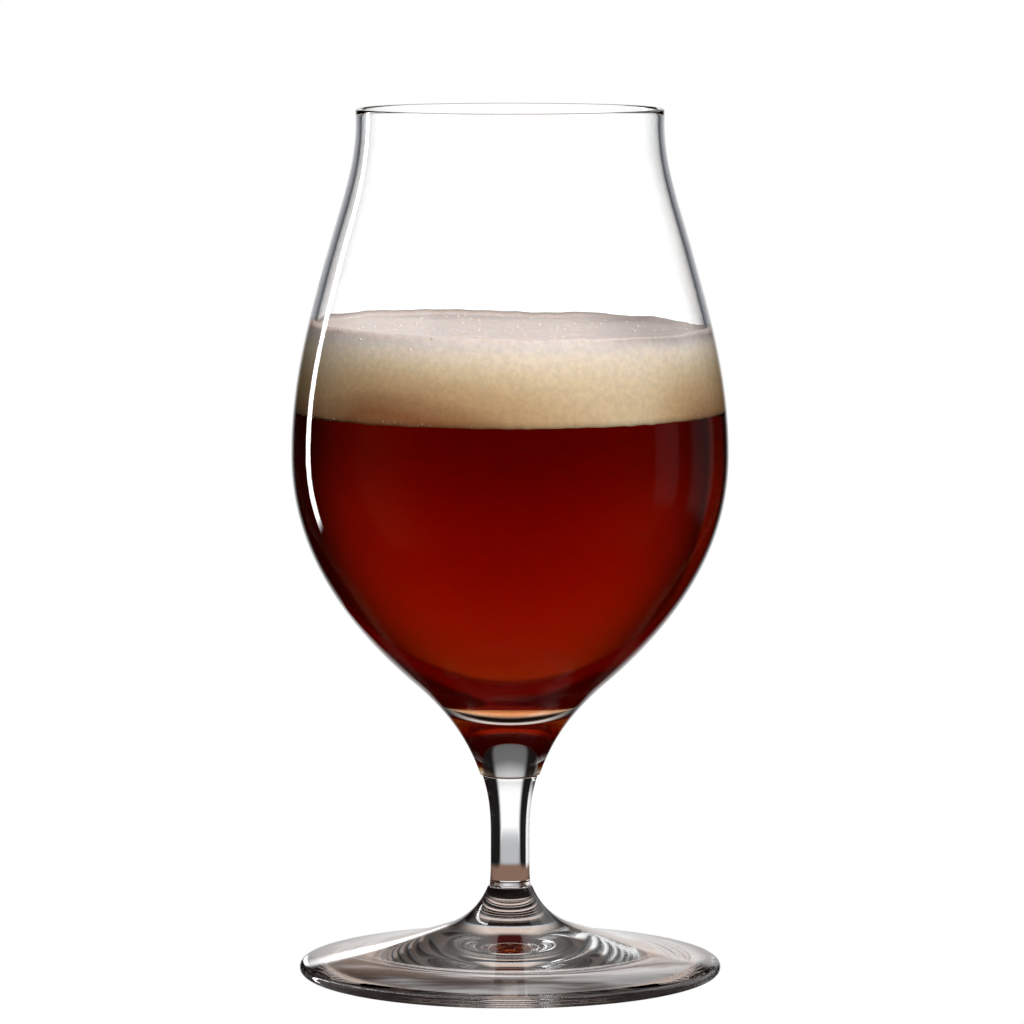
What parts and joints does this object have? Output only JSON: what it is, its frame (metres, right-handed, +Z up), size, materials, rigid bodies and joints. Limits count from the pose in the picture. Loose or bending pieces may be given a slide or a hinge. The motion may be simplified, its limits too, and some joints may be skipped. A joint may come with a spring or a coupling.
{
  "type": "beer snifter glass",
  "caption": "Stemmed beer snifter with a round belly, drawn-in neck, solid stem and wide foot, poured with dark red-brown beer under a head of foam.",
  "frame": {"origin": "centre of the foot's underside, on the plane of the ring that the glass stands on", "axes": "+Z up along the axis that every piece is turned about; X and Y are alike"},
  "size_m": [0.0896, 0.0896, 0.178],
  "materials": {
    "clear_glass": "clear polished drinking glass, fire-polished edges",
    "dark_beer": "clear dark red-brown beer, amber where it is thin",
    "beer_foam": "matt cream to tan froth of fine bubbles"
  },
  "bodies": {
    "root": {"foot": "clear_glass", "stem": "clear_glass", "bowl": "clear_glass", "beer": "dark_beer", "foam": "beer_foam"}
  },
  "joints": []
}
